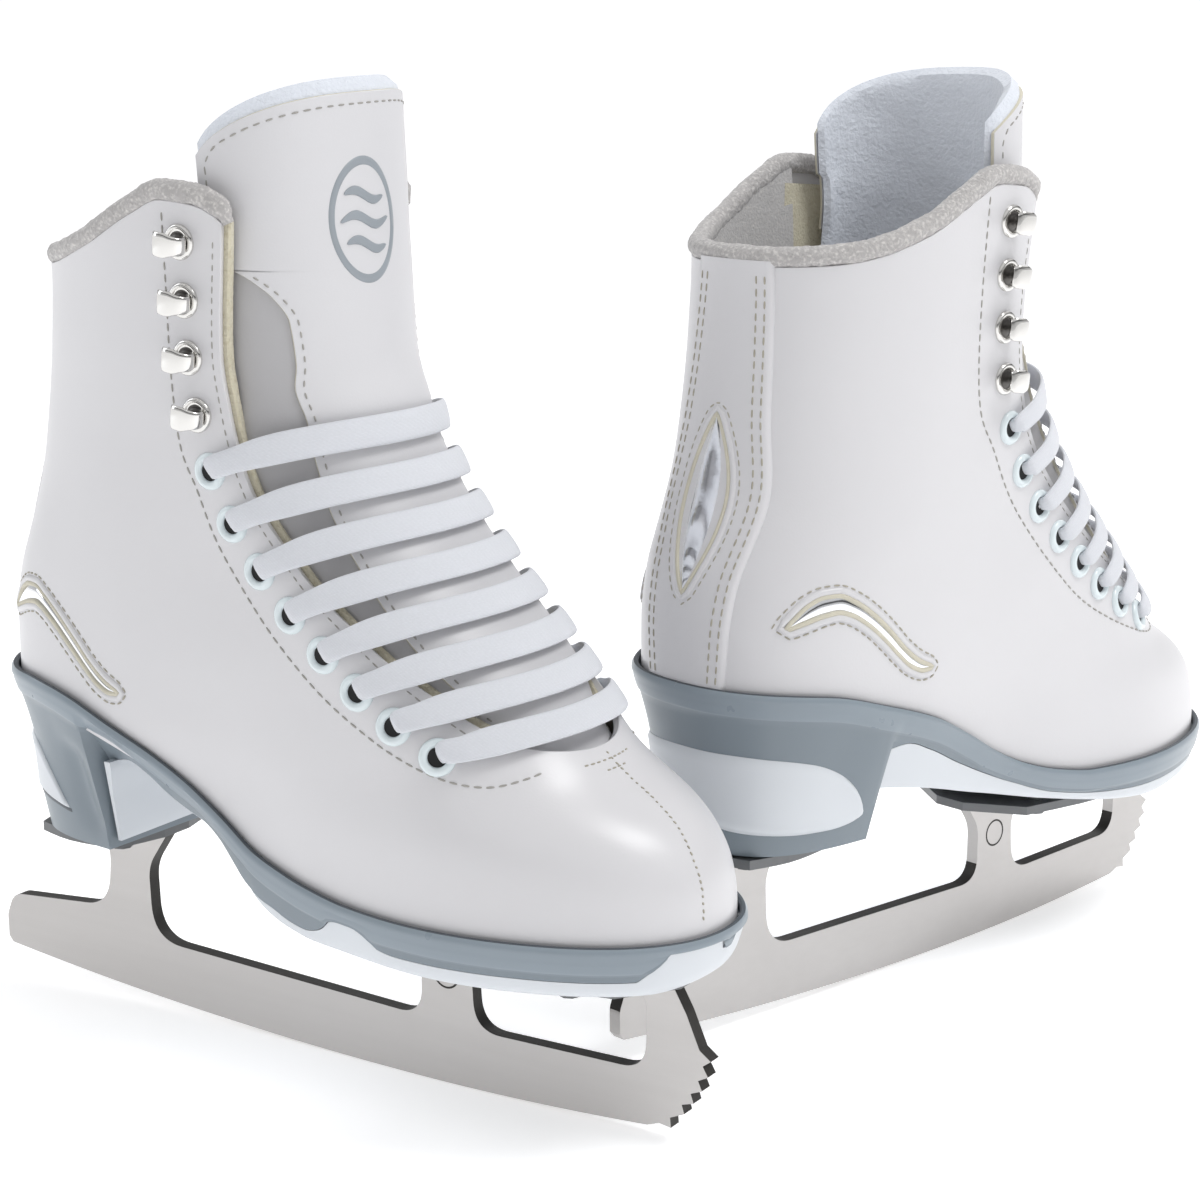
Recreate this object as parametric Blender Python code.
"""Pair of figure skates: white synthetic boots on single steel runners.

Metres, +Z up.  The right skate points along +X, the left one is its mirror
image, turned by YAW_LEFT and set beside it.  Each skate is built from layers:
runner, plates, screws, moulded sole, boot leather, lining, tongue, lace.
"""
import math
import bpy
import bmesh
import numpy as np
from mathutils import Vector

MM = 0.001
# ------------------------------------------------------------ driving sizes (mm)
BLADE_LEN = 237.0          # tail to front tooth
BLADE_T = 4.0              # runner thickness
TAIL_X = -135.0
ROCKER_X = 10.0
ROCKER_R_BACK = 1290.0
ROCKER_R_FRONT = 900.0
HEEL_PLATE_Z = (52.0, 54.6)
TOE_PLATE_Z = (42.4, 44.9)
GAP = 0.3
SHELL_T = 2.0              # boot leather
STRIP_D = (2.9, 3.7)       # facing tape, depth under the outer surface
LINING_D = (2.9, 4.8)
EYELET_N = 8
HOOK_N = 4
LACE_W = 6.8
LACE_T = 1.3
COLLAR_R = 2.9
TONGUE_JOINT_Z = 176.0
TONGUE_JOINT_X = 10.2
TONGUE_TOP_NARROW = 0.965
YAW_LEFT = math.radians(75.87)
LEFT_AT = (87.2, 160.8)    # left skate origin seen from the right skate origin
SCREW_R = 2.05


def hermite(xs, ys):
    """Smooth curve through control points (monotone tangents)."""
    xs = np.asarray(xs, float)
    ys = np.asarray(ys, float)
    h = np.diff(xs)
    d = np.diff(ys) / h
    m = np.empty_like(ys)
    m[0], m[-1] = d[0], d[-1]
    for i in range(1, len(xs) - 1):
        if d[i - 1] * d[i] <= 0:
            m[i] = 0.0
        else:
            w1, w2 = 2 * h[i] + h[i - 1], h[i] + 2 * h[i - 1]
            m[i] = (w1 + w2) / (w1 / d[i - 1] + w2 / d[i])

    def f(x):
        x = np.clip(np.asarray(x, float), xs[0], xs[-1])
        i = np.clip(np.searchsorted(xs, x) - 1, 0, len(xs) - 2)
        t = (x - xs[i]) / h[i]
        t2, t3 = t * t, t * t * t
        return ((2 * t3 - 3 * t2 + 1) * ys[i] + (t3 - 2 * t2 + t) * h[i] * m[i]
                + (-2 * t3 + 3 * t2) * ys[i + 1] + (t3 - t2) * h[i] * m[i + 1])
    return f


# ------------------------------------------------------------ boot form
back_x = hermite([45, 60, 90, 115, 127, 140, 155, 172, 190, 210, 235, 265],
                 [-108, -109, -110.5, -111, -109.5, -105, -100, -97, -94.5, -93, -93, -93])
front_x = hermite([45, 60, 70, 78, 84, 88, 91, 94, 98, 104.5, 112, 122, 130, 140, 150, 161, 173, 185, 210, 265],
                  [102.5, 103.5, 102, 97.5, 91.5, 85, 79, 74.5, 70, 64, 57, 48, 40, 31, 23, 16, 10.5, 9, 9, 10])
cap_front = hermite([45, 60, 84, 94, 104, 122, 150, 190, 265], [62, 62, 55, 44, 38, 37, 36, 35, 35])
cap_back = hermite([45, 90, 130, 190, 265], [40, 41, 45, 50, 50])
W_Z = [45, 60, 78, 95, 115, 140, 170, 200, 235, 265]
W_ROWS = [hermite([-115, -80, -50, -20, 10, 40, 75, 110], r) for r in (
    [31.5, 31.5, 30.5, 31.5, 36.5, 40.0, 38, 37],
    [32, 32, 31.5, 32.5, 37, 40.5, 38.5, 37],
    [33, 33.5, 34, 34.5, 38.5, 40.5, 38.5, 37],
    [35, 35.5, 38, 37.5, 38, 38, 35, 34],
    [35.5, 36, 38, 38, 37, 36, 34, 34],
    [35.5, 36, 37.5, 36.5, 36, 35, 34, 34],
    [35.5, 36, 37, 36.5, 35, 34, 34, 34],
    [36, 37, 38, 37.5, 36, 35, 35, 35],
    [37, 38, 39.5, 39.5, 38, 37, 37, 37],
    [37, 38, 39.5, 39.5, 38, 37, 37, 37])]


def half_width(x, z):
    """Half width of the boot at x, height z, before the rounded ends."""
    vals = np.array([r(x) for r in W_ROWS])
    z = float(np.clip(z, W_Z[0], W_Z[-1]))
    i = min(max(int(np.searchsorted(W_Z, z)) - 1, 0), len(W_Z) - 2)
    t = (z - W_Z[i]) / (W_Z[i + 1] - W_Z[i])
    t = t * t * (3 - 2 * t) * 0.4 + t * 0.6
    return vals[i] * (1 - t) + vals[i + 1] * t


_slices = {}


def outline(z):
    """Dense half outline (y >= 0 side as positive width) from toe centre to heel centre."""
    key = round(float(z), 3)
    if key not in _slices:
        xb, xf = float(back_x(z)), float(front_x(z))
        lb, lf = float(cap_back(z)), float(cap_front(z))
        if xf - lf < xb + lb:
            m = (xf - lf + xb + lb) / 2
            lf, lb = xf - m, m - xb
        a = np.linspace(0, math.pi / 2, 60)
        nf, nb = 2.15, 2.3
        xs = np.concatenate([xf - lf + lf * np.cos(a) ** (2 / nf),
                             np.linspace(xf - lf, xb + lb, 30)[1:-1],
                             xb + lb - lb * np.sin(a) ** (2 / nb)])
        en = np.concatenate([np.sin(a) ** (2 / nf), np.ones(28), np.cos(a) ** (2 / nb)])
        en[0] = 0.0
        en[-1] = 0.0
        ys = half_width(xs, z) * en
        ln = np.concatenate([[0], np.cumsum(np.hypot(np.diff(xs), np.diff(ys)))])
        _slices[key] = (xs, ys, ln)
    return _slices[key]


def form(s, z):
    """Point on the boot form: s = 0 toe centre .. 1 heel centre, right side (y < 0)."""
    xs, ys, ln = outline(z)
    t = float(s) * ln[-1]
    return np.array([np.interp(t, ln, xs), -np.interp(t, ln, ys), float(z)])


def normal(s, z):
    e, dz = 0.012, 0.9
    s0, s1 = s - e, s + e

    def ext(u):
        if u < 0:
            p = form(-u, z)
            return np.array([p[0], -p[1], p[2]])
        if u > 1:
            p = form(2 - u, z)
            return np.array([p[0], -p[1], p[2]])
        return form(u, z)
    a = ext(s1) - ext(s0)
    b = form(s, z + dz) - form(s, z - dz)
    n = np.cross(b, a)
    n = n / np.linalg.norm(n)
    c = np.array([-20.0, 0, z])
    if np.dot(n, form(s, z) - c) < 0:
        n = -n
    if s <= 1e-6 or s >= 1 - 1e-6:
        n[1] = 0.0
        n = n / np.linalg.norm(n)
    return n


def at(s, z, d):
    """Form point moved d mm inwards (negative: outwards)."""
    return form(s, z) - d * normal(s, z)


def s_of_x(x, z):
    xs, ys, ln = outline(z)
    return float(np.interp(-x, -xs, ln) / ln[-1])


# ------------------------------------------------------------ lines on the form
rim_z = hermite([-114, -90, -70, -50, -35, -20, -8, 5, 20, 45, 95, 107],
                [100, 98, 92.5, 85.5, 78, 69.5, 64, 60, 57.5, 57, 56.5, 56.5])
facing_x = hermite([99, 103, 107.5, 114.5, 121, 129, 137, 146.5, 156, 168, 179, 192, 224.5],
                   [66, 58, 50, 39, 29, 18.5, 8.5, -0.5, -8, -13.5, -16, -17.5, -15])
collar_z = hermite([-97, -80, -60, -42, -33, -22, -14], [209.5, 211, 217, 226, 229.5, 228.5, 224.5])


def rim_point_s(s):
    z = 70.0
    for _ in range(30):
        z = 0.5 * z + 0.5 * float(rim_z(form(s, z)[0]))
    return z


def top_path(n_throat, n_collar):
    """(s, z) pairs along the throat edge and then the collar."""
    out = [(0.0, 99.0)]
    zt = np.linspace(0, 1, n_throat + 1)[1:] ** 1.55 * (224.5 - 99) + 99
    for z in zt:
        out.append((s_of_x(float(facing_x(z)), z), float(z)))
    s0 = out[-1][0]
    for u in np.linspace(0, 1, n_collar + 1)[1:]:
        s = s0 + (1 - s0) * u
        z = 225.0
        for _ in range(40):
            z = 0.5 * z + 0.5 * float(collar_z(form(s, z)[0]))
        out.append((float(s), z))
    return out


eyelets = [(44.6, 100.4), (32.9, 106.6), (22.2, 113.6), (12.2, 121.6), (2.2, 130.2),
           (-7.2, 140.0), (-15.4, 151.0), (-21.8, 163.6)]
hooks = [(-25.2, 177.3), (-26.9, 191.4), (-27.2, 205.4), (-27.2, 219.6)]

# ------------------------------------------------------------ mesh helpers
SIDES = {}
made = []


def mat(name, rgb, rough=0.5, metal=0.0):
    m = bpy.data.materials.new(name)
    m.use_nodes = True
    b = m.node_tree.nodes["Principled BSDF"]
    b.inputs["Base Color"].default_value = (*rgb, 1)
    b.inputs["Roughness"].default_value = rough
    b.inputs["Metallic"].default_value = metal
    m.diffuse_color = (*rgb, 1)
    return m


class Place:
    """Local skate millimetres to world metres, per foot."""

    def __init__(self, foot):
        self.foot = foot

    def __call__(self, p):
        x, y, z = float(p[0]), float(p[1]), float(p[2])
        if self.foot == "left":
            y = -y
            c, s = math.cos(YAW_LEFT), math.sin(YAW_LEFT)
            x, y = c * x - s * y + LEFT_AT[0], s * x + c * y + LEFT_AT[1]
        return Vector(((x + SHIFT[0]) * MM, (y + SHIFT[1]) * MM, (z + SHIFT[2]) * MM))


SHIFT = (0.0, 0.0, 0.0)


def build(name, place, verts, faces, material, origin=(0, 0, 0), smooth=35.0):
    o = place(origin)
    me = bpy.data.meshes.new(name)
    me.from_pydata([tuple(place(v) - o) for v in verts], [], [tuple(f) for f in faces])
    bm = bmesh.new()
    bm.from_mesh(me)
    bmesh.ops.remove_doubles(bm, verts=bm.verts, dist=2e-6)
    bmesh.ops.dissolve_degenerate(bm, dist=1e-6, edges=bm.edges)
    bmesh.ops.recalc_face_normals(bm, faces=bm.faces)
    if bm.calc_volume(signed=True) < 0:
        bmesh.ops.reverse_faces(bm, faces=bm.faces)
    for f in bm.faces:
        f.smooth = True
    for e in bm.edges:
        if len(e.link_faces) == 2 and e.calc_face_angle(0.0) > math.radians(smooth):
            e.smooth = False
    bm.to_mesh(me)
    bm.free()
    ob = bpy.data.objects.new(name, me)
    ob.location = o
    bpy.context.collection.objects.link(ob)
    ob.data.materials.append(material)
    made.append(ob)
    return ob


def thick_grid(outer, inner, closed):
    """Closed skin from two point grids [col][row]."""
    C, R = len(outer), len(outer[0])
    verts = [p for c in outer for p in c] + [p for c in inner for p in c]
    o = lambda c, r: (c % C) * R + r
    i = lambda c, r: C * R + (c % C) * R + r
    faces = []
    for c in range(C if closed else C - 1):
        for r in range(R - 1):
            faces.append((o(c, r), o(c + 1, r), o(c + 1, r + 1), o(c, r + 1)))
            faces.append((i(c, r + 1), i(c + 1, r + 1), i(c + 1, r), i(c, r)))
        faces.append((o(c, 0), i(c, 0), i(c + 1, 0), o(c + 1, 0)))
        faces.append((o(c + 1, R - 1), i(c + 1, R - 1), i(c, R - 1), o(c, R - 1)))
    if not closed:
        for r in range(R - 1):
            faces.append((o(0, r), o(0, r + 1), i(0, r + 1), i(0, r)))
            faces.append((o(C - 1, r + 1), o(C - 1, r), i(C - 1, r), i(C - 1, r + 1)))
    return verts, faces


def mirror(p):
    return np.array([p[0], -p[1], p[2]])


def boolean(target, cutters, op="DIFFERENCE"):
    for c in cutters:
        m = target.modifiers.new("cut", "BOOLEAN")
        m.operation = op
        m.solver = "EXACT"
        m.object = c
    bpy.context.view_layer.update()
    dg = bpy.context.evaluated_depsgraph_get()
    me = bpy.data.meshes.new_from_object(target.evaluated_get(dg))
    old = target.data
    target.modifiers.clear()
    target.data = me
    bpy.data.meshes.remove(old)
    bm = bmesh.new()
    bm.from_mesh(me)
    bmesh.ops.remove_doubles(bm, verts=bm.verts, dist=5e-6)
    bmesh.ops.dissolve_degenerate(bm, dist=2e-6, edges=bm.edges)
    for f in bm.faces:
        f.smooth = True
    for e in bm.edges:
        e.smooth = not (len(e.link_faces) == 2 and e.calc_face_angle(0.0) > math.radians(35))
    bm.to_mesh(me)
    bm.free()
    for c in cutters:
        bpy.data.objects.remove(c, do_unlink=True)


def frame_of(n, ref=(0, 0, 1.0)):
    n = np.asarray(n, float) / np.linalg.norm(n)
    u = np.cross(ref, n)
    u = u / np.linalg.norm(u)
    v = np.cross(n, u)
    return u, v, n


def turned(centre, n, prof, seg=12, phase=0.0):
    """Solid of revolution; prof = [(radius, height)] along n, closed by end fans."""
    u, v, n = frame_of(n)
    c = np.asarray(centre, float)
    verts, faces = [], []
    for r, h in prof:
        for k in range(seg):
            a = 2 * math.pi * k / seg + phase
            verts.append(c + n * h + u * r * math.cos(a) + v * r * math.sin(a))
    for i in range(len(prof) - 1):
        for k in range(seg):
            k2 = (k + 1) % seg
            faces.append((i * seg + k, i * seg + k2, (i + 1) * seg + k2, (i + 1) * seg + k))
    faces.append(tuple(range(seg - 1, -1, -1)))
    faces.append(tuple((len(prof) - 1) * seg + k for k in range(seg)))
    return verts, faces


def cutter(place, parts_):
    verts, faces = [], []
    for v, f in parts_:
        b = len(verts)
        verts += list(v)
        faces += [tuple(i + b for i in q) for q in f]
    ob = build("cutter", place, verts, faces, TOOL)
    made.remove(ob)
    ob.hide_render = True
    ob.display_type = "WIRE"
    return ob


def prism(poly, y0, y1):
    n = len(poly)
    verts = [(x, y0, z) for x, z in poly] + [(x, y1, z) for x, z in poly]
    faces = [tuple(range(n)), tuple(range(2 * n - 1, n - 1, -1))]
    faces += [(i, i + n, (i + 1) % n + n, (i + 1) % n) for i in range(n)]
    return verts, faces


def slab(poly, z0, z1):
    n = len(poly)
    verts = [(x, y, z0) for x, y in poly] + [(x, y, z1) for x, y in poly]
    faces = [tuple(range(n)), tuple(range(2 * n - 1, n - 1, -1))]
    faces += [(i, i + n, (i + 1) % n + n, (i + 1) % n) for i in range(n)]
    return verts, faces


def rounded(poly, steps=2):
    """Poly of (x, z, radius): corners replaced by arcs."""
    out = []
    n = len(poly)
    for i in range(n):
        p = np.array(poly[i][:2], float)
        r = poly[i][2] if len(poly[i]) > 2 else 0.0
        a = np.array(poly[i - 1][:2], float) - p
        b = np.array(poly[(i + 1) % n][:2], float) - p
        la, lb = np.linalg.norm(a), np.linalg.norm(b)
        if r <= 0:
            out.append(tuple(p))
            continue
        a, b = a / la, b / lb
        ang = math.acos(max(-1, min(1, float(np.dot(a, b)))))
        t = min(r / math.tan(ang / 2), la * 0.49, lb * 0.49)
        for k in range(steps + 1):
            w = k / steps
            out.append(tuple((1 - w) ** 2 * (p + a * t) + 2 * w * (1 - w) * p + w * w * (p + b * t)))
    return out


# ------------------------------------------------------------ pieces
def rocker(x):
    r = ROCKER_R_BACK if x < ROCKER_X else ROCKER_R_FRONT
    return (x - ROCKER_X) ** 2 / (2 * r)


def runner_poly():
    k = 0.979
    top = [(-138.0, 19.5, 5), (-131.5, 25.6, 4), (-105, 28.6, 9), (-96, 33.5, 6), (-96, 46, 5),
           (-101.5, 51.7, 0), (-73.5, 51.7, 0), (-79, 45, 5), (-79, 31, 7), (-70.5, 22.4, 8), (8.5, 19.8, 6),
           (14.6, 27, 5), (14.2, 34, 5), (9, 42.1, 0), (38, 42.1, 0), (32, 33.5, 5), (32.4, 25.5, 5),
           (40.5, 18.3, 6), (77.5, 19.3, 6), (84.3, 26, 5), (84.2, 36.5, 4), (79.5, 42.1, 0),
           (93.2, 42.1, 0), (96.4, 35.2, 3), (100.6, 26.2, 0)]
    tips = [(104.1, 23.9), (103.3, 19.6), (101.6, 15.6), (99.2, 11.8), (96.5, 8.4)]
    pts = [(p[0] * k, p[1], *p[2:]) for p in top]
    for i, (x, z) in enumerate(tips):
        pts.append((x * k, z, 0))
        nx, nz = tips[i + 1] if i + 1 < len(tips) else (92.6, 3.9)
        mx, mz = x * 0.42 + nx * 0.58, z * 0.25 + nz * 0.75
        pts.append(((mx - 1.9) * k, mz + 1.5, 0))
    pts.append((92.6 * k, 3.8, 0))
    pts.append((89.0 * k, 4.3, 0))
    xs = np.linspace(85.5 * k, TAIL_X + 1.5, 22)
    pts += [(x, rocker(x), 0) for x in xs]
    pts.append((TAIL_X, rocker(TAIL_X) + 1.6, 0))
    return rounded(pts)


def plate_poly(x0, x1, w0, wm, w1, waist=0.0, n=7):
    """Symmetric plate outline with rounded ends."""
    xs = np.linspace(0, 1, 10)
    half = []
    for t in xs:
        w = w0 * (1 - t) ** 2 + wm * 2 * t * (1 - t) * 1.0 + w1 * t ** 2
        w = hermite([0, 0.5, 1], [w0, wm, w1])(t) * 1.0
        e = min(1.0, (1 - (1 - min(t, 0.12) / 0.12) ** 2.2) ** 0.45) * min(1.0, (1 - (1 - min(1 - t, 0.12) / 0.12) ** 2.2) ** 0.45)
        half.append((x0 + (x1 - x0) * t, max(float(w) * e, 5.0)))
    return [(x, -y) for x, y in half] + [(x, y) for x, y in reversed(half)]


TOE_SCREWS = [(22.0, -17.0), (22.0, 17.0), (72.0, -19.0), (72.0, 19.0)]
HEEL_SCREWS = [(-78.0, -13.5), (-78.0, 13.5), (-98.0, 12.0)]

grey_low = hermite([-66, -60, -50, -38, -24, -12, 5, 25, 45, 108], [77, 78, 76, 71, 65, 60, 54.3, 51, 49.8, 49.6])
white_low = hermite([-65, -49, -24, 5, 35, 55, 95, 108], [68.5, 66, 59.5, 52.3, 47, 45.3, 45.3, 47.8])


def sole_side(s, zf, lo):
    """Outer sole wall: zf 0 at the rim .. 1 at the tread."""
    zr = rim_point_s(s)
    p = form(s, zr)
    n = normal(s, zr)
    n[2] = 0
    n = n / np.linalg.norm(n)
    q = p + n * 2.3
    x = q[0]
    ky = float(hermite([-114, -66, -40, 0, 45, 108], [0.70, 0.72, 0.84, 0.90, 0.93, 0.9])(x))
    xb = x + 9.0 * math.exp(-(x + 115) / 14.0) - 4.5 * math.exp(-(109 - x) / 12.0)
    b = np.array([xb, q[1] * ky, 0])
    return q, b, zr


def sole_columns():
    """s values along the right side, with two columns at the heel breast."""
    ss = list(np.linspace(0, 1, 25))

    def s_at(x):
        a, b = 0.0, 1.0
        for _ in range(40):
            m = (a + b) / 2
            if sole_side(m, 0, 0)[1][0] > x:
                a = m
            else:
                b = m
        return (a + b) / 2
    sa, sb = s_at(-65.2), s_at(-67.2)
    ss = [s for s in ss if abs(s - sa) > 0.02 and abs(s - sb) > 0.02] + [sa, sb]
    return sorted(ss), sa, sb


def ring_solid(rings):
    """rings: list of [right columns] point lists toe->heel; both ends closed across y."""
    R = len(rings)
    C = len(rings[0])
    verts, idx = [], {}
    for r in range(R):
        for c in range(C):
            idx[(r, c, 0)] = len(verts)
            verts.append(rings[r][c])
            if 0 < c < C - 1:
                idx[(r, c, 1)] = len(verts)
                verts.append(mirror(rings[r][c]))
            else:
                verts[-1] = np.array([rings[r][c][0], 0.0, rings[r][c][2]])
                idx[(r, c, 1)] = idx[(r, c, 0)]
    faces = []
    for r in range(R - 1):
        for c in range(C - 1):
            for m in (0, 1):
                faces.append((idx[(r, c, m)], idx[(r, c + 1, m)], idx[(r + 1, c + 1, m)], idx[(r + 1, c, m)]))
    for r in (0, R - 1):
        for c in range(C - 1):
            q = [idx[(r, c, 0)], idx[(r, c + 1, 0)], idx[(r, c + 1, 1)], idx[(r, c, 1)]]
            q = [v for i, v in enumerate(q) if v not in q[:i]]
            faces.append(tuple(q))
    return verts, faces


def sole_rim_mesh():
    ss, sa, sb = sole_columns()
    rings = [[], [], [], [], []]
    for s in ss:
        q, b, zr = sole_side(s, 0, 0)
        p = form(s, zr)
        n = normal(s, zr)
        n[2] = 0
        n = n / np.linalg.norm(n)
        zb = 55.0 if s >= sb - 1e-9 else float(grey_low(b[0]))
        frac = (zr - zb) / (zr - (55.0 if s >= sb - 1e-9 else float(white_low(b[0]))))
        low = q * (1 - frac) + b * frac
        rings[0].append(np.array([*(p + n * 0.95)[:2], zr - 0.6]))
        rings[1].append(np.array([*(p + n * 0.95)[:2], zr + 2.0]))
        rings[2].append(np.array([*(p + n * 1.9)[:2], zr + 1.9]))
        rings[3].append(np.array([q[0], q[1], zr - 1.5]))
        rings[4].append(np.array([low[0], low[1], zb]))
    return ring_solid(rings)


def underlayer_mesh():
    ss, sa, sb = sole_columns()
    ss = [s for s in ss if s < sa - 0.004] + [sa - 0.002]
    rings = [[], []]
    for s in ss:
        q, b, zr = sole_side(s, 0, 0)
        zb = float(white_low(b[0]))
        zt = float(grey_low(b[0])) - GAP - 0.15
        frac = (zr - zt - GAP) / (zr - zb)
        up = q * (1 - frac) + b * frac
        up = np.array([up[0], up[1] * 0.985, zt])
        rings[0].append(up)
        rings[1].append(np.array([b[0], b[1], zb]))
    # the heel end is a straight wall, so it does not close on the centre line
    R, C = 2, len(ss)
    verts, faces, idx = [], [], {}
    for r in range(R):
        for c in range(C):
            idx[(r, c, 0)] = len(verts)
            verts.append(rings[r][c] if c else np.array([rings[r][c][0], 0, rings[r][c][2]]))
            if c:
                idx[(r, c, 1)] = len(verts)
                verts.append(mirror(rings[r][c]))
            else:
                idx[(r, c, 1)] = idx[(r, c, 0)]
    for c in range(C - 1):
        for m in (0, 1):
            faces.append((idx[(0, c, m)], idx[(0, c + 1, m)], idx[(1, c + 1, m)], idx[(1, c, m)]))
        for r in (0, 1):
            q = [idx[(r, c, 0)], idx[(r, c + 1, 0)], idx[(r, c + 1, 1)], idx[(r, c, 1)]]
            q = [v for i, v in enumerate(q) if v not in q[:i]]
            faces.append(tuple(q))
    faces.append((idx[(0, C - 1, 0)], idx[(0, C - 1, 1)], idx[(1, C - 1, 1)], idx[(1, C - 1, 0)]))
    return verts, faces


def heel_wall(s, z):
    """Point and outward direction on the heel side wall of the sole."""
    q, b, zr = sole_side(s, 0, 0)
    t = (zr - z) / (zr - 55.0)
    p = q * (1 - t) + b * t
    n = normal(s, zr)
    n[2] = 0
    return np.array([p[0], p[1], z]), n / np.linalg.norm(n)


def heel_panel_mesh(s0, s1, ztop, zbot, n_s=7, n_z=3, side=True):
    outer, inner = [], []
    for i in range(n_s):
        u = i / (n_s - 1)
        s = s0 + (s1 - s0) * u
        if side:
            zt, zb = ztop(u), zbot(u)
        else:
            zt, zb = ztop(u), zbot(u)
        co, ci = [], []
        for k in range(n_z):
            z = zb + (zt - zb) * k / (n_z - 1)
            p, n = heel_wall(min(s, 1.0) if s <= 1 else 2 - s, z)
            if s > 1:
                p, n = mirror(p), mirror(n)
            e = 0.55 if k in (0, n_z - 1) or i in (0, n_s - 1) else 1.1
            co.append(p + n * (0.5 + e))
            ci.append(p + n * 0.5)
        outer.append(co)
        inner.append(ci)
    return thick_grid(outer, inner, False)


def breast_panel_mesh(n=5):
    """White face on the front of the heel, over its slanted wall."""
    outer, inner = [], []
    for i in range(n):
        q = -1 + 2 * i / (n - 1)
        co, ci = [], []
        for k in range(3):
            z = 57.6 + 10.0 * k / 2
            wall = -67.07 + (z - 56.5) * 0.0852
            y = q * (22.0 + 3.4 * k / 2)
            co.append(np.array([wall + 1.5, y, z]))
            ci.append(np.array([wall + 0.32, y, z]))
        outer.append(co)
        inner.append(ci)
    return thick_grid(outer, inner, False)


def shell_columns(n_throat=12, n_collar=8):
    tops = top_path(n_throat, n_collar)
    n = len(tops) - 1
    corner = n_throat
    cols = []
    for j, (st, zt) in enumerate(tops):
        if j <= corner:
            sb = 0.60 * (j / corner) ** 0.95
        else:
            sb = 0.60 + 0.40 * (j - corner) / (n - corner)
        cols.append((sb, rim_point_s(sb), st, zt))
    return cols


def shell_mesh(rows=9):
    cols = shell_columns()
    outer, inner = [], []

    def col(c, d, m, inset=0.0):
        sb, zb, st, zt = c
        out = []
        for r in range(rows):
            t = r / (rows - 1)
            g = 1 - (1 - t) ** (1.0 + 0.55 * max(0.0, 1 - (zt - zb) / 90.0))
            p = at(sb + (st - sb) * g, zb + (zt - zb) * g, d)
            out.append(mirror(p) if m else p)
        return out
    order = [(c, False) for c in cols] + [(c, True) for c in cols[-2:0:-1]]
    for c, m in order:
        outer.append(col(c, 0.0, m))
        inner.append(col(c, SHELL_T, m))
    for k, (c, m) in enumerate(order):
        if k in (0, len(cols) - 1):
            for g in (outer[k], inner[k]):
                for p in g:
                    p[1] = 0.0
    return thick_grid(outer, inner, True)


def lining_mesh(n=10, rows=5):
    outer, inner = [], []
    cols = []
    for j in range(n):
        u = j / (n - 1)
        st = None
        # front edge sits behind the facing tape
        sb = 0.44 + 0.56 * u
        zc = 214.0
        s_front = s_of_x(-38.0, 224.0)
        st = s_front + (1 - s_front) * u
        z = 225.0
        for _ in range(40):
            z = 0.5 * z + 0.5 * float(collar_z(form(st, z)[0]))
        cols.append((sb, rim_point_s(sb) + 0.8, st, z - 0.2))

    def col(c, d, m):
        sb, zb, st, zt = c
        out = []
        for r in range(rows):
            t = r / (rows - 1)
            p = at(sb + (st - sb) * t, zb + (zt - zb) * t, d)
            out.append(mirror(p) if m else p)
        return out
    order = [(c, False) for c in cols] + [(c, True) for c in cols[-2::-1]]
    for k, (c, m) in enumerate(order):
        outer.append(col(c, LINING_D[0], m))
        inner.append(col(c, LINING_D[1], m))
        if k == len(cols) - 1:
            for g in (outer[-1], inner[-1]):
                for p in g:
                    p[1] = 0.0
    return thick_grid(outer, inner, False)


def sweep(path, normals_, widths, thick, closed=False):
    """Rectangular ribbon along a path; width across, thickness along the normal."""
    n = len(path)
    verts, faces = [], []
    for i in range(n):
        a = path[max(i - 1, 0)]
        b = path[min(i + 1, n - 1)]
        t = np.asarray(b) - np.asarray(a)
        t = t / np.linalg.norm(t)
        nn = np.asarray(normals_[i], float)
        nn = nn - np.dot(nn, t) * t
        nn = nn / np.linalg.norm(nn)
        w = np.cross(t, nn)
        hw, ht = widths[i] / 2, thick[i] / 2
        for sx, sz in ((-1, -1), (1, -1), (1, 1), (-1, 1)):
            verts.append(np.asarray(path[i]) + w * hw * sx + nn * ht * sz)
    for i in range(n - 1):
        for k in range(4):
            k2 = (k + 1) % 4
            faces.append((i * 4 + k, i * 4 + k2, (i + 1) * 4 + k2, (i + 1) * 4 + k))
    faces.append((3, 2, 1, 0))
    faces.append(tuple((n - 1) * 4 + k for k in range(4)))
    return verts, faces


def tube(path, r, seg=6):
    n = len(path)
    verts, faces = [], []
    up = np.array([0, 0, 1.0])
    for i in range(n):
        t = np.asarray(path[min(i + 1, n - 1)]) - np.asarray(path[max(i - 1, 0)])
        t = t / np.linalg.norm(t)
        u = np.cross(up, t)
        u = u / np.linalg.norm(u)
        v = np.cross(t, u)
        for k in range(seg):
            a = 2 * math.pi * k / seg
            verts.append(np.asarray(path[i]) + r * (u * math.cos(a) + v * math.sin(a)))
    for i in range(n - 1):
        for k in range(seg):
            k2 = (k + 1) % seg
            faces.append((i * seg + k, i * seg + k2, (i + 1) * seg + k2, (i + 1) * seg + k))
    faces.append(tuple(range(seg - 1, -1, -1)))
    faces.append(tuple((n - 1) * seg + k for k in range(seg)))
    return verts, faces


def collar_path(n=11):
    s0 = s_of_x(-19.0, 226.0)
    pts = []
    for j in range(n):
        s = s0 + (1 - s0) * j / (n - 1)
        z = 225.0
        for _ in range(40):
            z = 0.5 * z + 0.5 * float(collar_z(form(s, z)[0]))
        p = at(s, z, 2.2)
        pts.append(np.array([p[0], p[1], z + GAP + COLLAR_R + 0.25]))
    pts[-1][1] = 0.0
    return pts + [mirror(p) for p in pts[-2::-1]]


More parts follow.
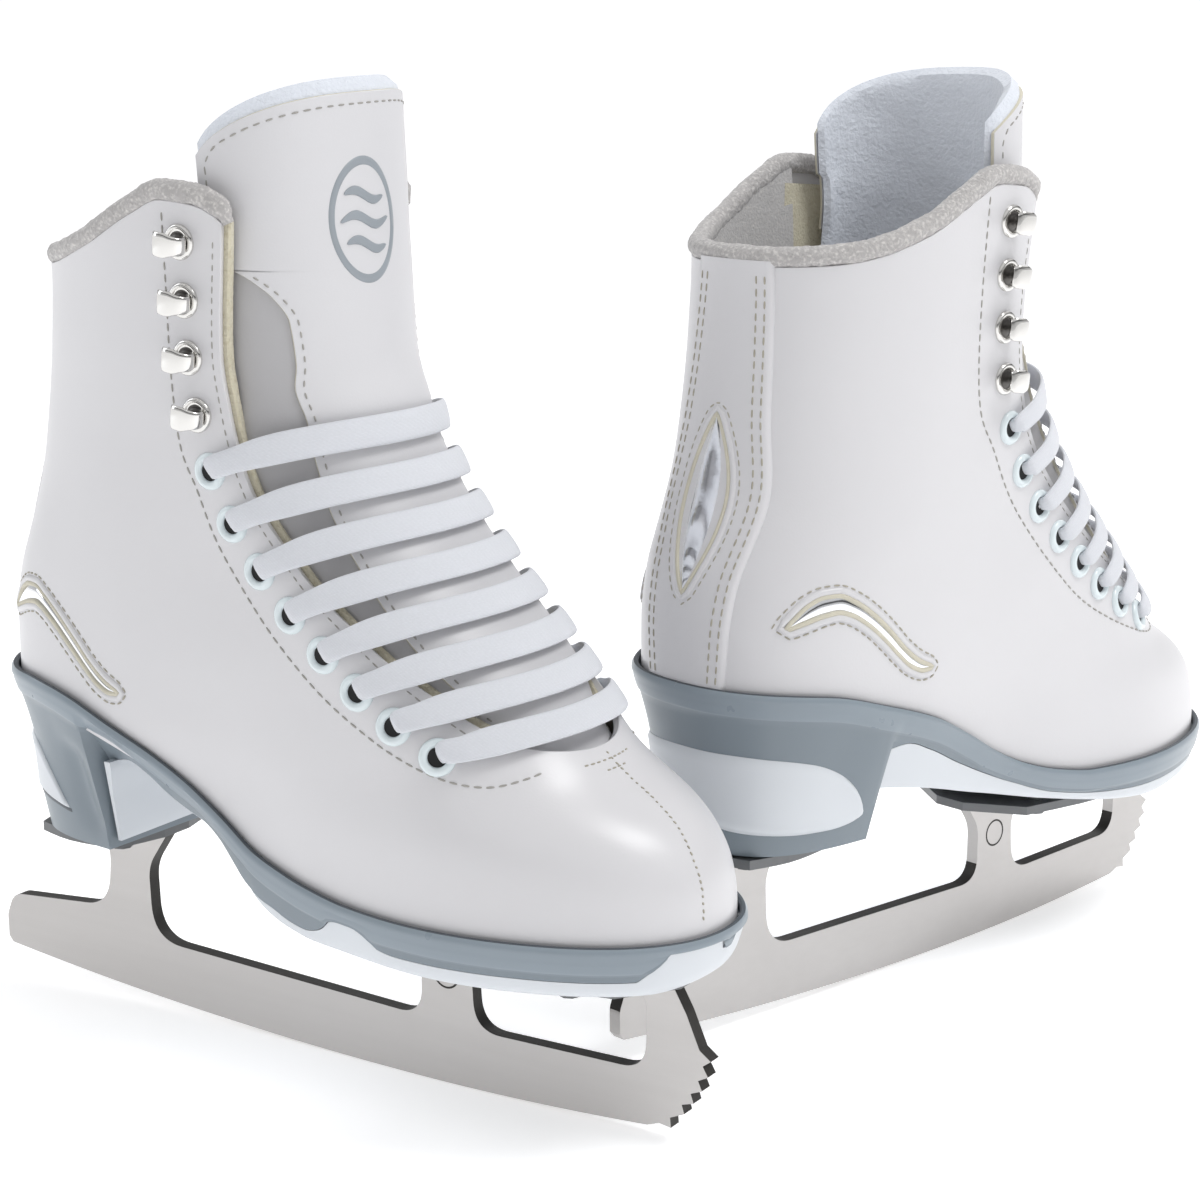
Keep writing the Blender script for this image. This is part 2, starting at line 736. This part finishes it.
def backstay_mesh(rows=9, cols=5):
    wid = hermite([101, 130, 150, 172, 212], [14.0, 16.0, 18.5, 15.5, 13.0])
    outer, inner = [], []
    for c in range(cols):
        q = -1 + 2 * c / (cols - 1)
        co, ci = [], []
        for r in range(rows):
            z = 104.5 + (208.5 - 104.5) * r / (rows - 1)
            ln = outline(z)[2][-1]
            s = 1 - abs(q) * float(wid(z)) / ln
            for d, arr in ((-1.7, co), (-0.8, ci)):
                p = at(s, z, d)
                if q > 0:
                    p = mirror(p)
                if abs(q) < 1e-9:
                    p[1] = 0.0
                arr.append(p)
        outer.append(co)
        inner.append(ci)
    return thick_grid(outer, inner, False)


def leaf_mesh(rows=10, cols=5):
    outer, inner = [], []
    for c in range(cols):
        q = -1 + 2 * c / (cols - 1)
        co, ci = [], []
        for r in range(rows):
            t = r / (rows - 1)
            z = 127.5 + 44.0 * t
            w = 0.5 + 6.4 * math.sin(math.pi * t) ** 0.8
            ln = outline(z)[2][-1]
            s = 1 - abs(q) * w / ln
            for d, arr in ((-2.75, co), (-2.15, ci)):
                p = at(s, z, d)
                if q > 0:
                    p = mirror(p)
                if abs(q) < 1e-9:
                    p[1] = 0.0
                arr.append(p)
        outer.append(co)
        inner.append(ci)
    return thick_grid(outer, inner, False)


slit_z = hermite([-103, -98, -91, -84, -76, -66, -55], [120.5, 125.5, 128.3, 126.5, 119.5, 110, 102.8])


def slit_mesh(side, n=13):
    path, nrm, wid = [], [], []
    for i in range(n):
        t = i / (n - 1)
        x = -103 + 48 * t
        z = float(slit_z(x))
        s = s_of_x(x, z)
        p, nn = at(s, z, -0.8), normal(s, z)
        if side > 0:
            p, nn = mirror(p), mirror(nn)
        path.append(p)
        nrm.append(nn)
        wid.append(0.9 + 3.9 * math.sin(math.pi * t ** 0.8) ** 0.9)
    return sweep(path, nrm, wid, [0.7] * n)


def s_front_arc(y_t, z):
    """s on the front arc where the half width reaches y_t."""
    xs, ys, ln = outline(z)
    k = int(np.argmax(ys >= y_t)) if ys.max() >= y_t else int(np.argmax(ys))
    return float(ln[k] / ln[-1])


def tongue_point(q, z, depth):
    """q -1..1 across, z height, depth measured from the tongue's outer face."""
    low = z < TONGUE_JOINT_Z
    fx = float(facing_x(max(z, 99.5)))
    xe = fx - (6.0 if low else 3.5)
    if z > 228:
        xe = -20.0 + (z - 228) * 0.02
    if z < 112:
        s_e = s_front_arc(float(hermite([90, 100, 112], [16, 21, 26])(z)), z)
    else:
        s_e = s_of_x(max(xe, float(front_x(z)) - 36), z)
    s = abs(q) * s_e
    base = 0.4 + min(3.9, max(0.0, (110.5 - z) * 0.5))
    side = 5.3 if low else float(hermite([176, 205, 222, 236, 262], [5.3, 5.3, 7.2, 7.2, 5.5])(z))
    d = base + (max(side, base) - base) * abs(q) ** 3.0
    p = at(s, z, d + depth)
    if not low:
        p[0] -= float(hermite([176, 190, 215, 262], [0.0, 3.2, 5.2, 9.0])(z))
        p[1] *= TONGUE_TOP_NARROW
    if q > 0:
        p = mirror(p)
    if abs(q) < 1e-9:
        p[1] = 0.0
    return p


def tongue_mesh(z0, z1, rows, cols=9, t_mid=4.5, t_edge=2.4, upper=False):
    outer, inner = [], []
    for c in range(cols):
        q = -1 + 2 * c / (cols - 1)
        co, ci = [], []
        for r in range(rows):
            t = r / (rows - 1)
            top = z1
            if upper:
                top = z1 - 1.0 - 12.0 * abs(q) ** 3
            z = z0 + (top - z0) * (t if upper else t ** 1.4)
            th = t_edge + (t_mid - t_edge) * (1 - q * q)
            co.append(tongue_point(q, z, 0.0))
            ci.append(tongue_point(q, z, th))
        outer.append(co)
        inner.append(ci)
    return thick_grid(outer, inner, False)


def strip_mesh(points, d0, d1, w, side, extra=9.0, n=None):
    """Facing tape under the leather, following the fastener points."""
    xs = [p[0] for p in points]
    zs = [p[1] for p in points]
    a = np.array(points[0]) + (np.array(points[0]) - np.array(points[1])) * 0.45
    b = np.array(points[-1]) + (np.array(points[-1]) - np.array(points[-2])) * 0.42
    pts = [a] + [np.array(p) for p in points] + [b]
    dense = []
    for i in range(len(pts) - 1):
        dense.append(pts[i])
        dense.append((pts[i] + pts[i + 1]) / 2)
    dense.append(pts[-1])
    outer, inner = [], []
    for c in (-1, 0, 1):
        co, ci = [], []
        for i, p in enumerate(dense):
            t = dense[min(i + 1, len(dense) - 1)] - dense[max(i - 1, 0)]
            t = t / np.linalg.norm(t)
            nx, nz = t[1], -t[0]
            x, z = p[0] + nx * w * c, p[1] + nz * w * c
            s = s_of_x(x, z)
            for d, arr in ((d0, co), (d1, ci)):
                v = at(s, z, d)
                arr.append(mirror(v) if side > 0 else v)
        outer.append(co)
        inner.append(ci)
    return thick_grid(outer, inner, False)


def fastener(p, side):
    s = s_of_x(p[0], p[1])
    c, n = form(s, p[1]), normal(s, p[1])
    if side > 0:
        c, n = mirror(c), mirror(n)
    return c, n


def hook_solid(c, n, side):
    """Bent hook tongue standing on its base disc, open end towards the heel."""
    back = np.array([-1.0, 0, 0.12])
    back = back - np.dot(back, n) * n
    back = back / np.linalg.norm(back)
    path = [c + n * 0.7 - back * 2.2, c + n * 2.6 - back * 3.5, c + n * 4.6 - back * 3.4,
            c + n * 5.9 - back * 1.6, c + n * 6.0 + back * 1.2, c + n * 5.2 + back * 3.6]
    nn = []
    for i in range(len(path)):
        t = path[min(i + 1, len(path) - 1)] - path[max(i - 1, 0)]
        w = np.cross(n, back)
        nn.append(np.cross(w, t))
    return sweep(path, nn, [5.2, 5.4, 5.6, 6.4, 7.0, 5.6], [1.1] * len(path))


def lace_path():
    """One flat lace: straight bars over the tongue, runs under the facings."""
    def ends(i, side):
        c, n = fastener(eyelets[i], side)
        return c, n

    def mid_of(i):
        x, z = eyelets[i]
        rise = float(hermite([0, 2, 5, 7], [4.2, 8.2, 10.2, 9.3])(i))
        return z + rise

    def bar(i, frm):
        """From the inside of eyelet i on side frm, across, to the inside of the other."""
        pts, nrm, wid, thk = [], [], [], []
        c, n = ends(i, frm)
        x, z = eyelets[i]
        zm = mid_of(i)
        tow = np.array([0.0, -frm, 0.0])
        for d, w, t in ((4.7, 2.3, 1.0), (-0.2, 2.1, 1.2), (-2.5, 3.0, 1.2)):
            pts.append(c - n * d)
            nrm.append(tow + n * 0.05)
            wid.append(w)
            thk.append(t)
        m = 7
        s_e = s_of_x(x, z)
        for k in range(m):
            q = 1 - 2 * k / (m - 1)
            aq = abs(q) ** 1.0 * 0.86
            zz = z + (zm - z) * (1 - aq ** 2)
            s = s_e * aq
            sx = s_of_x(x, z) if abs(q) > 0.99 else s
            p = at(s, zz, -2.5 - 0.55 * (1 - aq))
            nv = normal(s, zz)
            if q * frm > 0:
                p, nv = mirror(p), mirror(nv)
            if abs(q) < 1e-9:
                p[1] = 0.0
            pts.append(p)
            nrm.append(nv)
            e = 1 - max(0.0, (abs(q) - 0.7) / 0.3)
            wid.append(4.6 + (LACE_W - 4.6) * min(1, e))
            thk.append(LACE_T)
        c2, n2 = ends(i, -frm)
        for d, w, t in ((-2.5, 3.0, 1.2), (-0.2, 2.1, 1.2), (4.7, 2.3, 1.0)):
            pts.append(c2 - n2 * d)
            nrm.append(np.array([0.0, frm * 1.0, 0.0]) * -1 + n2 * 0.05)
            wid.append(w)
            thk.append(t)
        return pts, nrm, wid, thk

    return bar, ends


def lace_mesh():
    bar, ends = lace_path()
    P_, N_, W_, T_ = [], [], [], []

    def add(pk):
        for a, b in zip((P_, N_, W_, T_), pk):
            a.extend(b)

    def under(i, j, side, lane):
        """Run under the facing from eyelet i to eyelet j."""
        a, b = np.array(eyelets[i]), np.array(eyelets[j])
        t = (b - a) / np.linalg.norm(b - a)
        off = np.array([t[1], -t[0]]) * lane
        pts, nrm, wid, thk = [], [], [], []
        for u in (0.2, 0.8):
            p = a + (b - a) * u + off * math.sin(math.pi * u)
            s = s_of_x(p[0], p[1])
            v, n = at(s, p[1], 4.95), normal(s, p[1])
            if side > 0:
                v, n = mirror(v), mirror(n)
            pts.append(v)
            nrm.append(n)
            wid.append(3.6)
            thk.append(0.9)
        return pts, nrm, wid, thk

    def rev(pk):
        return [list(reversed(x)) for x in pk]
    # strand one: bars 1(bottom),2,4,6,8 ; strand two: 3,5,7 ; joined at the bottom bar
    side = -1
    chain = []
    s = 1
    # tail of strand two (top) down to the bottom bar
    seq_two = [6, 4, 2]
    cur = -1
    first = True
    for i in seq_two:
        if first:
            c, n = ends(i, cur)
            a = np.array(eyelets[i])
            for u, dd in ((1.0, 4.35), (0.5, 4.35)):
                p = a + (np.array(eyelets[i + 1]) - a) * u * 0.8
                ss_ = s_of_x(p[0], p[1])
                v, nn = at(ss_, p[1], 4.95), normal(ss_, p[1])
                if cur > 0:
                    v, nn = mirror(v), mirror(nn)
                P_.append(v); N_.append(nn); W_.append(3.6); T_.append(0.9)
            first = False
        add(bar(i, cur))
        cur = -cur
        nxt = {6: 4, 4: 2, 2: 0}[i]
        add(under(i, nxt, cur, 3.6))
    add(bar(0, cur))
    cur = -cur
    prev = 0
    for i in (1, 3, 5, 7):
        add(under(prev, i, cur, -3.6 if prev else 0.0))
        add(bar(i, cur))
        cur = -cur
        prev = i
    a = np.array(eyelets[7])
    for u in (0.5, 1.0):
        p = a + np.array([-2.0, -7.0]) * u + np.array([-4.0, 0]) * u
        ss_ = s_of_x(p[0], p[1])
        v, nn = at(ss_, p[1], 4.95), normal(ss_, p[1])
        if cur > 0:
            v, nn = mirror(v), mirror(nn)
        P_.append(v); N_.append(nn); W_.append(3.6); T_.append(0.9)
    ln = sum(float(np.linalg.norm(np.asarray(P_[i + 1]) - np.asarray(P_[i]))) for i in range(len(P_) - 1))
    print("LACE length mm", round(ln, 1), "sections", len(P_))
    return sweep(P_, N_, W_, T_)


# ------------------------------------------------------------ build
for ob in list(bpy.data.objects):
    bpy.data.objects.remove(ob, do_unlink=True)

TOOL = mat("tool", (0.8, 0.1, 0.1))
M = {
    "steel": mat("brushed_steel", (0.62, 0.62, 0.63), 0.32, 1.0),
    "plate": mat("plated_steel", (0.70, 0.70, 0.71), 0.25, 1.0),
    "screw": mat("zinc_screw", (0.72, 0.72, 0.70), 0.35, 1.0),
    "sole": mat("moulded_grey_sole", (0.36, 0.42, 0.45), 0.45),
    "white_sole": mat("moulded_white_sole", (0.82, 0.83, 0.84), 0.4),
    "leather": mat("white_leather", (0.84, 0.84, 0.85), 0.38),
    "backstay": mat("white_backstay", (0.84, 0.84, 0.85), 0.38),
    "lining": mat("grey_lining", (0.62, 0.62, 0.63), 0.95),
    "footbed": mat("footbed_foam", (0.66, 0.66, 0.68), 0.9),
    "collar": mat("grey_plush_collar", (0.58, 0.57, 0.57), 0.95),
    "tongue": mat("white_tongue", (0.83, 0.83, 0.84), 0.45),
    "chrome": mat("mirror_foil", (0.85, 0.85, 0.86), 0.08, 1.0),
    "hook": mat("nickel_hook", (0.70, 0.69, 0.67), 0.2, 1.0),
    "eyelet": mat("white_enamel_eyelet", (0.80, 0.83, 0.84), 0.25),
    "lace": mat("white_flat_lace", (0.88, 0.88, 0.90), 0.9),
}


def build_foot(foot):
    pl = Place(foot)
    N = foot + "_"
    b = lambda name, vf, m, **k: build(N + name, pl, vf[0], vf[1], M[m], **k)
    b("runner", prism(runner_poly(), -BLADE_T / 2, BLADE_T / 2), "steel")
    heel_poly = plate_poly(-107.0, -70.0, 17.0, 21.0, 19.0)
    toe_poly = plate_poly(3.0, 95.0, 19.0, 26.0, 17.0)
    hp = b("heel_plate", slab(heel_poly, *HEEL_PLATE_Z), "plate")
    tp = b("toe_plate", slab(toe_poly, *TOE_PLATE_Z), "plate")
    rim = b("sole_rim", sole_rim_mesh(), "sole")
    und = b("sole_underlayer", underlayer_mesh(), "white_sole")
    up = (0, 0, 1.0)

    def hole(x, y, z0, z1, r):
        u = [(r, 0.0), (r, z1 - z0)]
        vs, fs = [], []
        for k in range(2):
            for i in range(8):
                a = 2 * math.pi * i / 8
                vs.append((x + r * math.cos(a), y + r * math.sin(a), (z0, z1)[k]))
        for i in range(8):
            j = (i + 1) % 8
            fs.append((i, j, 8 + j, 8 + i))
        fs.append(tuple(range(7, -1, -1)))
        fs.append(tuple(range(8, 16)))
        return vs, fs
    rh = SCREW_R + GAP + 0.05
    boolean(hp, [cutter(pl, [hole(x, y, 50, 57, rh) for x, y in HEEL_SCREWS])])
    boolean(tp, [cutter(pl, [hole(x, y, 40, 47, rh) for x, y in TOE_SCREWS])])
    boolean(rim, [cutter(pl, [hole(x, y, 50, 66.5, rh) for x, y in HEEL_SCREWS] + [hole(x, y, 40, 54.0, rh) for x, y in TOE_SCREWS])])
    boolean(und, [cutter(pl, [hole(x, y, 40, 56, rh) for x, y in TOE_SCREWS])])
    for i, (x, y) in enumerate(TOE_SCREWS + HEEL_SCREWS):
        z0 = (TOE_PLATE_Z if i < 4 else HEEL_PLATE_Z)[0] - GAP
        tip = 53.5 if i < 4 else 66.0
        vs, fs = [], []
        prof = [(2.9, z0 - 1.3), (3.8, z0), (SCREW_R, z0), (SCREW_R, tip)]
        for r, z in prof:
            for k in range(8):
                a = 2 * math.pi * k / 8
                vs.append((x + r * math.cos(a), y + r * math.sin(a), z))
        for i2 in range(3):
            for k in range(8):
                j = (k + 1) % 8
                fs.append((i2 * 8 + k, i2 * 8 + j, (i2 + 1) * 8 + j, (i2 + 1) * 8 + k))
        fs.append(tuple(range(7, -1, -1)))
        fs.append(tuple(range(24, 32)))
        b(("toe_screw_%d" % (i + 1)) if i < 4 else ("heel_screw_%d" % (i - 3)), (vs, fs), "screw")
    # heel panels
    ptop = hermite([0, 0.25, 0.5, 0.75, 1.0], [62.8, 71.0, 78.0, 82.5, 84.5])
    pbot = lambda u: 60.3
    s0 = 0.755
    left = heel_panel_mesh(s0, 0.962, ptop, pbot, 8)
    left = ([mirror(v) for v in left[0]], [tuple(reversed(f)) for f in left[1]])
    b("heel_panel_breast", breast_panel_mesh(), "white_sole")
    b("heel_panel_inner", left, "white_sole")
    b("heel_panel_back", heel_panel_mesh(0.925, 1.026, lambda u: 84.5, lambda u: 60.5, 5, 3, False), "white_sole")
    # footbed
    ss = [0, 0.04, 0.09, 0.16, 0.25, 0.36, 0.47, 0.58, 0.69, 0.79, 0.88, 0.94, 1.0]
    rings = [[], []]
    for s in ss:
        zr = rim_point_s(s)
        for k, (dz, dd) in enumerate(((0.5, 6.0), (4.4, 6.0))):
            p = at(s, zr + 3.0, dd)
            rings[k].append(np.array([p[0], p[1], float(rim_z(p[0])) + dz]))
    b("footbed", ring_solid(rings), "footbed")
    shell = b("upper_shell", shell_mesh(), "leather")
    holes = []
    for side in (-1, 1):
        for p in eyelets:
            c, n = fastener(p, side)
            holes.append(turned(c - n * 4.0, n, [(3.25, 0), (3.25, 6.0)], 6))
        for p in hooks:
            c, n = fastener(p, side)
            holes.append(turned(c - n * 4.0, n, [(2.35, 0), (2.35, 6.0)], 6))
    boolean(shell, [cutter(pl, holes)])
    b("lining", lining_mesh(), "lining")
    b("collar_roll", tube(collar_path(), COLLAR_R), "collar")
    b("backstay", backstay_mesh(), "backstay")
    b("heel_inset", leaf_mesh(), "chrome")
    b("side_inset_outer", slit_mesh(-1), "chrome")
    b("side_inset_inner", slit_mesh(1), "chrome")
    b("tongue_lower", tongue_mesh(98.5, TONGUE_JOINT_Z - 0.6, 8), "tongue")
    hinge = (TONGUE_JOINT_X, 0, TONGUE_JOINT_Z)
    b("tongue_upper", tongue_mesh(TONGUE_JOINT_Z + 0.6, 259.5, 7, t_mid=6.0, t_edge=3.0, upper=True), "tongue", origin=hinge)
    for side, nm in ((-1, "outer"), (1, "inner")):
        st = b("hook_row_" + nm, strip_mesh(hooks, STRIP_D[0], STRIP_D[1], 5.0, side), "hook")
        adds = []
        for p in hooks:
            c, n = fastener(p, side)
            a1 = cutter(pl, [turned(c, n, [(1.7, -3.2), (1.7, GAP + 0.25), (4.5, GAP + 0.25), (3.9, 1.35)], 8)])
            a2 = cutter(pl, [hook_solid(c, n, side)])
            adds += [a1, a2]
        boolean(st, adds, "UNION")
        er = b("eyelet_row_" + nm, strip_mesh(eyelets, STRIP_D[0], STRIP_D[1], 5.0, side), "eyelet")
        adds, cuts = [], []
        for p in eyelets:
            c, n = fastener(p, side)
            adds.append(cutter(pl, [turned(c, n, [(2.45, -3.2), (2.45, GAP + 0.28), (4.3, GAP + 0.28), (3.5, 1.15)], 8)]))
            cuts.append(turned(c, n, [(1.9, -6), (1.9, 6)], 6))
        boolean(er, adds, "UNION")
        boolean(er, [cutter(pl, cuts)])
    b("lace", lace_mesh(), "lace")
    return hinge, pl


def bounds():
    bpy.context.view_layer.update()
    lo = Vector((1e9,) * 3)
    hi = Vector((-1e9,) * 3)
    for ob in made:
        for v in ob.data.vertices:
            p = ob.matrix_world @ v.co
            lo = Vector(map(min, lo, p))
            hi = Vector(map(max, hi, p))
    return lo, hi


def triangulate(ob):
    """Writes the diagonals down, so that both feet keep the same gaps between layers."""
    bm = bmesh.new()
    bm.from_mesh(ob.data)
    bmesh.ops.triangulate(bm, faces=bm.faces[:], quad_method="BEAUTY", ngon_method="BEAUTY")
    bm.to_mesh(ob.data)
    bm.free()


info = {}
for foot in ("right", "left"):
    info[foot] = build_foot(foot)
for ob in made:
    triangulate(ob)
lo, hi = bounds()
shift = Vector((-(lo.x + hi.x) / 2, -(lo.y + hi.y) / 2, -lo.z))
for ob in made:
    ob.location = ob.location + shift
bpy.context.view_layer.update()
print("SHIFT mm", [round(c * 1000, 4) for c in shift], "SIZE mm", [round((hi[i] - lo[i]) * 1000, 2) for i in range(3)])
for foot in ("right", "left"):
    h, pl = info[foot]
    p = pl(h) + shift
    print("HINGE", foot, [round(c, 6) for c in p])
tot = 0
for ob in made:
    t = sum(len(p.vertices) - 2 for p in ob.data.polygons)
    tot += t
print("OBJECTS", len(made), "TRIS", tot)
